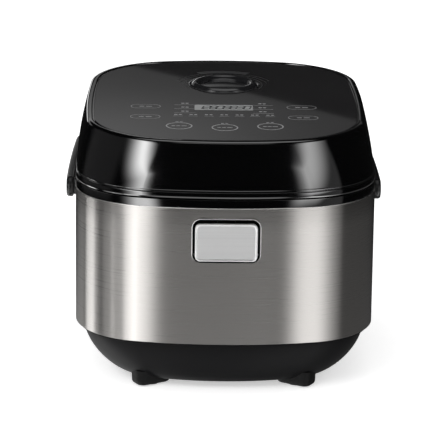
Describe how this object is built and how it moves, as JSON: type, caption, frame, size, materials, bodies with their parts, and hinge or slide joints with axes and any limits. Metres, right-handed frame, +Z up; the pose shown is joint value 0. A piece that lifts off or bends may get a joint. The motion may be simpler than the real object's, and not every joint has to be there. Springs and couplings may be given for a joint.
{
  "type": "rice cooker",
  "caption": "Electronic rice cooker with a hinged lid, steam vent cap, front release button, steel band, rounded base on feet and a fold-back carrying handle.",
  "frame": {"origin": "centre of the overall footprint, on the surface that the feet stand on", "axes": "+Z up, +Y from the front with the release button towards the hinge at the back, +X to the right-hand side as seen from the front"},
  "size_m": [0.3012, 0.3724, 0.2462],
  "materials": {
    "lid_black": "high gloss, moulded",
    "panel_black": "satin gloss sheet with printed marks",
    "base_grey": "fine matte texture",
    "satin_black": "satin",
    "inner_grey": "satin",
    "brushed_steel": "brushed along its length",
    "satin_metal": "fine satin with polished edges",
    "zinc_steel": "zinc plated",
    "plate_aluminium": "as cast, turned top",
    "pot_coated": "non-stick coated inside",
    "copper_brass": "plain",
    "black_rubber": "matte",
    "clear_silicone": "translucent silicone",
    "board_green": "coated laminate",
    "component_yellow": "taped winding",
    "display_glass": "liquid crystal",
    "mica_sheet": "mineral sheet"
  },
  "bodies": {
    "body": {"base_shell": "base_grey", "foot_pads": "black_rubber", "base_screws": "zinc_steel", "steel_wrap": "brushed_steel", "upper_collar": "satin_black", "heat_shield": "zinc_steel", "shield_screws": "zinc_steel", "shield_nuts": "zinc_steel", "side_heater": "mica_sheet", "heating_plate": "plate_aluminium", "heating_element": "plate_aluminium", "plate_posts": "zinc_steel", "plate_screws": "zinc_steel", "thermal_fuse": "copper_brass", "sensor_housing": "zinc_steel", "sensor_spring": "zinc_steel", "inner_pot": "pot_coated", "board_bracket": "zinc_steel", "power_board": "board_green", "transformer": "component_yellow", "relay": "satin_black", "capacitors": "satin_black", "board_screws": "zinc_steel", "ac_inlet": "satin_black", "inlet_pins": "copper_brass", "inlet_screws": "zinc_steel", "button_frame": "satin_black", "latch_pin": "zinc_steel", "latch_springs": "zinc_steel", "hinge_pin": "zinc_steel", "hinge_spring": "zinc_steel", "dew_cup_holder": "satin_black", "drain_tube": "clear_silicone", "handle_screws": "zinc_steel"},
    "lid": {"hinge_leaf": "zinc_steel", "bracket_screws": "zinc_steel", "lid_shell": "lid_black", "top_panel": "panel_black", "control_board": "board_green", "display_module": "display_glass", "touch_springs": "copper_brass", "lid_liner": "inner_grey", "liner_screws": "zinc_steel", "lid_catch": "zinc_steel", "inner_lid": "plate_aluminium", "lid_gasket": "clear_silicone", "inner_lid_knob": "inner_grey", "steam_seal": "clear_silicone", "vent_base": "satin_black", "lid_sensor": "zinc_steel"},
    "vent": {"vent_cap": "satin_black"},
    "button": {"release_button": "satin_metal", "latch_lever": "satin_black"},
    "sensor": {"sensor_cap": "plate_aluminium"},
    "cup": {"dew_cup": "satin_black"},
    "handle": {"handle": "satin_black"}
  },
  "joints": [
    {"name": "lid_hinge", "type": "hinge", "parent": "body", "child": "lid", "pos_m": [0, 0.1492, 0.184], "axis": [-1, 0, 0], "range_deg": [0, 85]},
    {"name": "handle_swing", "type": "hinge", "parent": "body", "child": "handle", "pos_m": [0, -0.0203, 0.157], "axis": [1, 0, 0], "range_deg": [0, 90]},
    {"name": "release_button", "type": "hinge", "parent": "body", "child": "button", "pos_m": [0, -0.1743, 0.136], "axis": [-1, 0, 0], "range_deg": [0, 5], "stiffness_Nm_per_rad": 0.6, "springref_deg": -2.86},
    {"name": "vent_cap_lift", "type": "slide", "parent": "lid", "child": "vent", "axis": [0, 0, 1], "range_m": [0, 0.02]},
    {"name": "sensor_plunge", "type": "slide", "parent": "body", "child": "sensor", "axis": [0, 0, 1], "range_m": [-0.003, 0], "stiffness_N_per_m": 600, "springref_m": 0.002, "deforming": ["sensor_spring"]},
    {"name": "dew_cup_slide", "type": "slide", "parent": "body", "child": "cup", "axis": [0, 1, 0], "range_m": [0, 0.03]}
  ]
}
